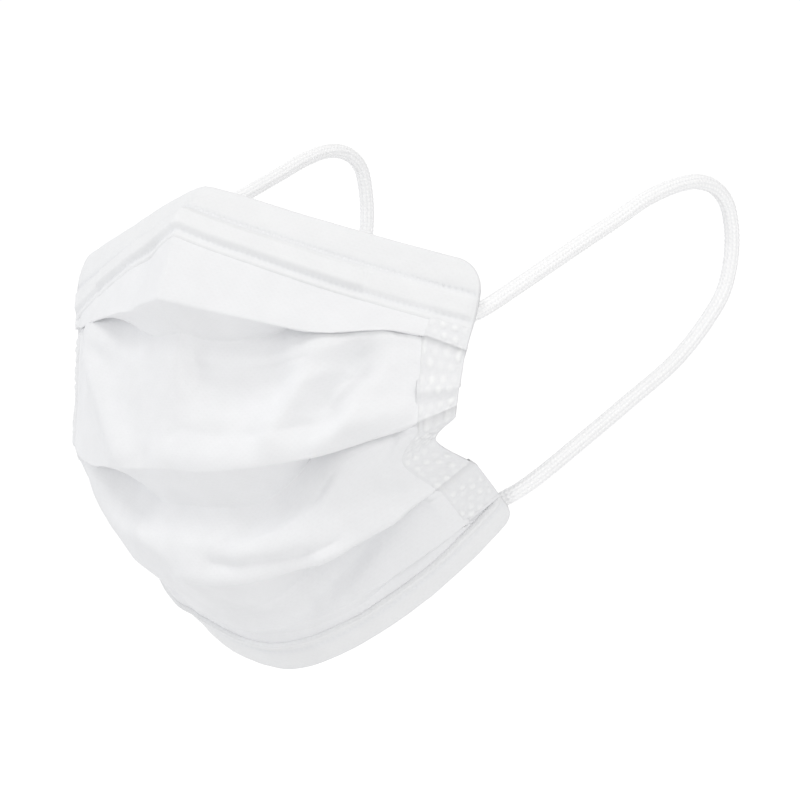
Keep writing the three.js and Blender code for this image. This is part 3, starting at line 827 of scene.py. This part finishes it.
# %% Lay the wire in its pocket
WIRE_STEPS, WIRE_ROWS = 160, 6
WIRE_CLEARANCE = 0.06 * MM
places, cloth = [], []
for i in range(WIRE_STEPS + 1):
    across = mix(-WIRE_END, WIRE_END, i / WIRE_STEPS)
    drops = [WIRE_DROP + mix(-WIRE_WIDTH / 2, WIRE_WIDTH / 2, k / WIRE_ROWS) for k in range(WIRE_ROWS + 1)]
    middle = CLOTH_WALL / 2 + WIRE_CLEARANCE + WIRE_THICKNESS / 2
    places.append(stations(top_run, -1, across / HALF_ARC, [(drop, middle) for drop in drops]))
    cloth.append([(across, drop) for drop in drops])
wire = thicken(bent_grid("sheathed_nose_wire", places, cloth), WIRE_THICKNESS)
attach(wire, "root")
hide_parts("nose_wire")
print("wire:", round(2 * WIRE_END * 1000), "mm long,", len(wire.data.polygons), "quads")

# %% [markdown]
# ## A kit for shader groups
# Each finish is a node group with named sockets. The helper adds a node, sets the inputs that are given
# as values and links those that are given as sockets. An input is given by its name, or by its number
# after an i where several share a name. Every group puts out a colour, a roughness and a height.

# %% Start a shader group
class Nodes:
    def __init__(self, tree):
        self.tree = tree

    def add(self, kind, settings=None, **inputs):
        node = self.tree.nodes.new(kind)
        for name, value in (settings or {}).items():
            setattr(node, name, value)
        for name, value in inputs.items():
            socket = node.inputs[int(name[1:])] if name[1:].isdigit() else node.inputs[name.replace("_", " ")]
            if isinstance(value, bpy.types.NodeSocket):
                self.tree.links.new(value, socket)
            else:
                socket.default_value = value
        return node

    def maths(self, operation, *values):
        return self.add("ShaderNodeMath", {"operation": operation},
                        **{f"i{k}": value for k, value in enumerate(values)}).outputs[0]

    def vector(self, operation, *values, out=0):
        return self.add("ShaderNodeVectorMath", {"operation": operation},
                        **{f"i{k}": value for k, value in enumerate(values)}).outputs[out]

    def toned(self, colour, share):
        return self.add("ShaderNodeVectorMath", {"operation": "SCALE"}, i0=colour, Scale=share).outputs[0]

    def ramp(self, value, low, high, out_low=0.0, out_high=1.0):
        return self.add("ShaderNodeMapRange", {"interpolation_type": "SMOOTHSTEP"}, Value=value, From_Min=low,
                        From_Max=high, To_Min=out_low, To_Max=out_high).outputs[0]

    def blend(self, share, a, b):
        node = self.add("ShaderNodeMix", {"data_type": "RGBA"}, i0=share, i6=a, i7=b)
        return node.outputs[2]

    def noise(self, vector, scale, detail=2.0):
        return self.add("ShaderNodeTexNoise", Vector=vector, Scale=scale, Detail=detail).outputs[0]

    def join(self, node, **sockets):
        for name, socket in sockets.items():
            self.tree.links.new(socket, node.inputs[name])


def shader_group(name, inputs):
    """A new group, and its input and output nodes. The inputs are given as (type, name, starting value)."""
    tree = bpy.data.node_groups.new(name, "ShaderNodeTree")
    for kind, label, value in inputs:
        socket = tree.interface.new_socket(label, in_out="INPUT", socket_type="NodeSocket" + kind)
        if value is not None:
            socket.default_value = value
    for kind, label in (("Color", "Colour"), ("Float", "Roughness"), ("Float", "Height")):
        tree.interface.new_socket(label, in_out="OUTPUT", socket_type="NodeSocket" + kind)
    return Nodes(tree), tree.nodes.new("NodeGroupInput"), tree.nodes.new("NodeGroupOutput")


# %% [markdown]
# ## Nonwoven cloth
# Spunbond cloth is a mat of fine fibres laid at random and held by a lattice of tiny bond points that a
# hot roller pressed in. The group draws fibres as stretched noise at three angles, the bond points as a
# staggered lattice, and a faint cloudiness, since the fibres never lie evenly. A weld melts the fibres
# into a denser and glossier film, which the Weld input brings in with its own colour. On the side strips
# that colour is lighter than the cloth, a painted highlight on the raised dots.

# %% Build the nonwoven group
MATS = [(0.3, 1.0), (1.35, 0.8), (2.5, 0.9)]     # angle of a layer of fibres, and its strength
BOND_PITCH = 1.3                                  # millimetres

kit, given, result = shader_group("Nonwoven", [
    ("Vector", "Cloth", None), ("Float", "Weld", 0.0), ("Color", "Colour", (0.83, 0.835, 0.85, 1)),
    ("Color", "Weld Colour", (0.76, 0.77, 0.79, 1))])
in_mm = kit.vector("MULTIPLY", given.outputs["Cloth"], (1000.0, 1000.0, 0.0))
fibres = 0.0
for angle, strength in MATS:
    turned = kit.add("ShaderNodeMapping", Vector=in_mm, Rotation=(0, 0, angle), Scale=(0.35, 5.0, 1.0))
    layer = kit.noise(turned.outputs[0], 1.0, 3.0)
    fibres = kit.maths("ADD", kit.maths("MULTIPLY", layer, strength / len(MATS)), fibres)
lattice = kit.add("ShaderNodeMapping", Vector=in_mm, Rotation=(0, 0, math.pi / 4),
                  Scale=(1 / BOND_PITCH, 1 / BOND_PITCH, 1.0))
cell = kit.vector("SUBTRACT", kit.vector("FRACTION", lattice.outputs[0]), (0.5, 0.5, 0.0))
bond = kit.ramp(kit.vector("LENGTH", cell, out="Value"), 0.18, 0.34, 1.0, 0.0)
cloud = kit.noise(in_mm, 0.11, 3.0)
fibre_shade = kit.ramp(fibres, 0.3, 0.6, 0.975, 1.0)
shade = kit.maths("MULTIPLY", fibre_shade, kit.ramp(cloud, 0.25, 0.75, 0.975, 1.0))
shade = kit.maths("MULTIPLY", shade, kit.ramp(bond, 0, 1, 1.0, 0.988))
toned = kit.toned(given.outputs["Colour"], shade)
colour = kit.blend(given.outputs["Weld"], toned, given.outputs["Weld Colour"])
rough = kit.maths("SUBTRACT", kit.ramp(bond, 0, 1, 0.9, 0.72),
                  kit.maths("MULTIPLY", given.outputs["Weld"], 0.35))
free = kit.maths("SUBTRACT", 1.0, given.outputs["Weld"])
height = kit.maths("SUBTRACT", kit.maths("MULTIPLY", fibres, 0.7), kit.maths("MULTIPLY", bond, 0.18))
kit.join(result, Colour=colour, Roughness=rough, Height=kit.maths("MULTIPLY", height, free))
nonwoven = kit.tree
print("Nonwoven:", len(nonwoven.nodes), "nodes")


FIBRE_IOR, BUMP_STRENGTH = 1.45, 0.35


def finish(name, group, vector, bump, sheen=0.0, **values):
    """A material with its own Principled shader, fed by a group that gets the vector and the values. A
    value given as a word is the name of an attribute of the mesh."""
    material = bpy.data.materials.new(name)
    material.use_nodes = True
    nodes = Nodes(material.node_tree)
    shader = material.node_tree.nodes["Principled BSDF"]
    look = nodes.add("ShaderNodeGroup", {"node_tree": group})
    for label, value in values.items():
        label = label.replace("_", " ")
        if isinstance(value, str):
            value = nodes.add("ShaderNodeAttribute", {"attribute_name": value}).outputs["Fac"]
            nodes.join(look, **{label: value})
        else:
            look.inputs[label].default_value = value
    coordinates = nodes.add("ShaderNodeTexCoord").outputs[vector]
    nodes.join(look, Cloth=coordinates)
    raised = nodes.add("ShaderNodeBump", Height=look.outputs["Height"], Distance=bump, Strength=BUMP_STRENGTH)
    nodes.join(shader, **{"Base Color": look.outputs["Colour"], "Roughness": look.outputs["Roughness"],
                          "Normal": raised.outputs["Normal"]})
    shader.inputs["IOR"].default_value = FIBRE_IOR
    shader.inputs["Sheen Weight"].default_value = sheen
    return material


FIBRE_RELIEF, SHEEN = 0.00006, 0.1
sheet.data.materials.append(finish("sheet_nonwoven", nonwoven, "UV", FIBRE_RELIEF, sheen=SHEEN))
hem_cloth = finish("hem_nonwoven", nonwoven, "UV", FIBRE_RELIEF, sheen=SHEEN, Weld="weld",
                   Colour=(0.825, 0.83, 0.84, 1), Weld_Colour=(0.76, 0.77, 0.79, 1))
top_hem.data.materials.append(hem_cloth)
bottom_hem.data.materials.append(hem_cloth)
# The strip's dots get a lighter colour than its cloth: a painted highlight on the raised weld dots
strip_cloth = finish("strip_nonwoven", nonwoven, "UV", FIBRE_RELIEF, sheen=SHEEN, Weld="weld",
                     Colour=(0.8, 0.805, 0.82, 1), Weld_Colour=(0.85, 0.855, 0.86, 1))
for strip in strips:
    strip.data.materials.append(strip_cloth)

# %% [markdown]
# ## Knitted elastic
# Each stitch of the loops catches light on its back and lies in shade at its sides, where it goes under the
# next one.
# The group draws the same columns of stitches that the mesh has, and fine filaments on them, and paints that
# shade in as a darker colour at the sides of each stitch and between the columns.

# %% Build the knit group
kit, given, result = shader_group("Knit", [
    ("Vector", "Cloth", None), ("Float", "Stitch", STITCH),
    ("Float", "Wale", math.pi * LOOP_DIAMETER / LOOP_WALES),
    ("Color", "Colour", (0.98, 0.98, 0.985, 1)), ("Color", "Painted Shade Colour", (0.85, 0.855, 0.87, 1))])
parts = kit.add("ShaderNodeSeparateXYZ", Vector=given.outputs["Cloth"])
wale = kit.maths("DIVIDE", parts.outputs["Y"], given.outputs["Wale"])
from_ridge = kit.maths("ABSOLUTE", kit.maths("SINE", kit.maths("MULTIPLY", wale, math.pi)))
lean = kit.maths("MULTIPLY", from_ridge, 0.35)
along = kit.maths("ADD", kit.maths("DIVIDE", parts.outputs["X"], given.outputs["Stitch"]), lean)
across_stitch = kit.maths("COSINE", kit.maths("MULTIPLY", along, 2 * math.pi))
gap = kit.maths("MAXIMUM", kit.ramp(from_ridge, 0.6, 1.0), kit.ramp(across_stitch, 0.4, -0.9, 0.0, 0.6))
filaments = kit.noise(kit.vector("MULTIPLY", given.outputs["Cloth"], (1500.0, 9000.0, 0.0)), 1.0, 2.0)
# The yarn is one white: the darker colour in the gaps between stitches and columns is painted shade
colour = kit.blend(kit.maths("MULTIPLY", gap, 0.6), given.outputs["Colour"], given.outputs["Painted Shade Colour"])
kit.join(result, Colour=colour, Roughness=kit.ramp(filaments, 0.2, 0.8, 0.95, 0.75),
         Height=kit.maths("SUBTRACT", filaments, gap))
knit = kit.tree
print("Knit:", len(knit.nodes), "nodes")

elastic = finish("knitted_elastic", knit, "UV", bump=0.0001, sheen=SHEEN)
for loop in loops:
    loop.data.materials.append(elastic)

# %% [markdown]
# ## The wire's sheath
# The plastic sheath is drawn over the wire, so it has faint draw lines along it and a few scuffs.

# %% Build the sheath group
kit, given, result = shader_group("Drawn Plastic", [
    ("Vector", "Cloth", None), ("Color", "Colour", (0.85, 0.85, 0.84, 1))])
lines = kit.noise(kit.vector("MULTIPLY", given.outputs["Cloth"], (60.0, 3000.0, 0.0)), 1.0, 2.0)
scuffs = kit.noise(given.outputs["Cloth"], 400.0, 4.0)
kit.join(result, Colour=kit.toned(given.outputs["Colour"], kit.ramp(scuffs, 0.4, 0.7, 1.0, 0.93)),
         Roughness=kit.ramp(lines, 0.3, 0.7, 0.35, 0.55), Height=lines)
wire.data.materials.append(finish("wire_sheath", kit.tree, "UV", bump=0.00002))
print("Drawn Plastic:", len(kit.tree.nodes), "nodes")

# %% [markdown]
# ## Floor and light
# A product photo of something white is lit evenly from all round: here by a white world, white paper well
# below, and three soft lamps. One is overhead and ahead of the mask, the key is on the right of the
# camera, and a weaker one lights the far side. The lower folds turn away from all three, so they are
# greyer. Paper and world are seen brighter than they light the mask, as a photographer lights a backdrop.

# %% Light the scene
def lit_white(tree, seen, lighting):
    """A background or emission that is seen as one white and lights the mask with a softer one."""
    path = tree.nodes.new("ShaderNodeLightPath")
    strength = tree.nodes.new("ShaderNodeMix")
    strength.inputs["A"].default_value = lighting
    strength.inputs["B"].default_value = seen
    tree.links.new(path.outputs["Is Camera Ray"], strength.inputs["Factor"])
    return strength.outputs["Result"]


FLOOR_HALF_WIDTH, FLOOR_DROP = 8, 0.35
PAPER_SEEN, PAPER_LIGHT = 0.75, 0.46
WORLD_SEEN, WORLD_LIGHT = 1.05, 0.64

bm = bmesh.new()
bmesh.ops.create_grid(bm, x_segments=1, y_segments=1, size=FLOOR_HALF_WIDTH)
bmesh.ops.translate(bm, verts=bm.verts, vec=(0, 0, -FLOOR_DROP))
floor_mesh = bpy.data.meshes.new("floor")
bm.to_mesh(floor_mesh)
bm.free()
floor = bpy.data.objects.new("floor", floor_mesh)
bpy.context.scene.collection.objects.link(floor)
kit, given, result = shader_group("Paper", [
    ("Vector", "Cloth", None), ("Color", "Colour", (0.5, 0.5, 0.5, 1))])
pulp = kit.noise(given.outputs["Cloth"], 90.0, 4.0)
kit.join(result, Colour=kit.toned(given.outputs["Colour"], kit.ramp(pulp, 0.3, 0.7, 0.98, 1.0)),
         Roughness=kit.ramp(pulp, 0.3, 0.7, 0.9, 1.0), Height=pulp)
paper = finish("floor_paper", kit.tree, "Object", bump=0.0001)
floor_mesh.materials.append(paper)
paper_shader = paper.node_tree.nodes["Principled BSDF"]
paper_shader.inputs["Emission Color"].default_value = (1, 1, 1, 1)
paper_glow = lit_white(paper.node_tree, PAPER_SEEN, PAPER_LIGHT)
paper.node_tree.links.new(paper_glow, paper_shader.inputs["Emission Strength"])

world = bpy.data.worlds.new("studio")
bpy.context.scene.world = world
world.use_nodes = True
background = world.node_tree.nodes["Background"]
background.inputs["Color"].default_value = (1, 1, 1, 1)
world_glow = lit_white(world.node_tree, WORLD_SEEN, WORLD_LIGHT)
world.node_tree.links.new(world_glow, background.inputs["Strength"])


def soft_light(name, place, size, power, colour):
    lamp = bpy.data.lights.new(name, "AREA")
    lamp.size = size
    lamp.energy = power
    lamp.color = colour
    light = bpy.data.objects.new(name, lamp)
    bpy.context.scene.collection.objects.link(light)
    light.location = place
    light.rotation_euler = (-Vector(place)).to_track_quat("-Z", "Y").to_euler()


soft_light("overhead", (0.1, -0.6, 1.3), 0.6, 5.7, (1, 0.99, 0.97))
soft_light("key", (1.25, -0.6, 0.45), 0.6, 5, (1, 0.99, 0.97))
soft_light("far side", (-1.2, -0.6, 0.2), 0.6, 4, (0.97, 0.98, 1))
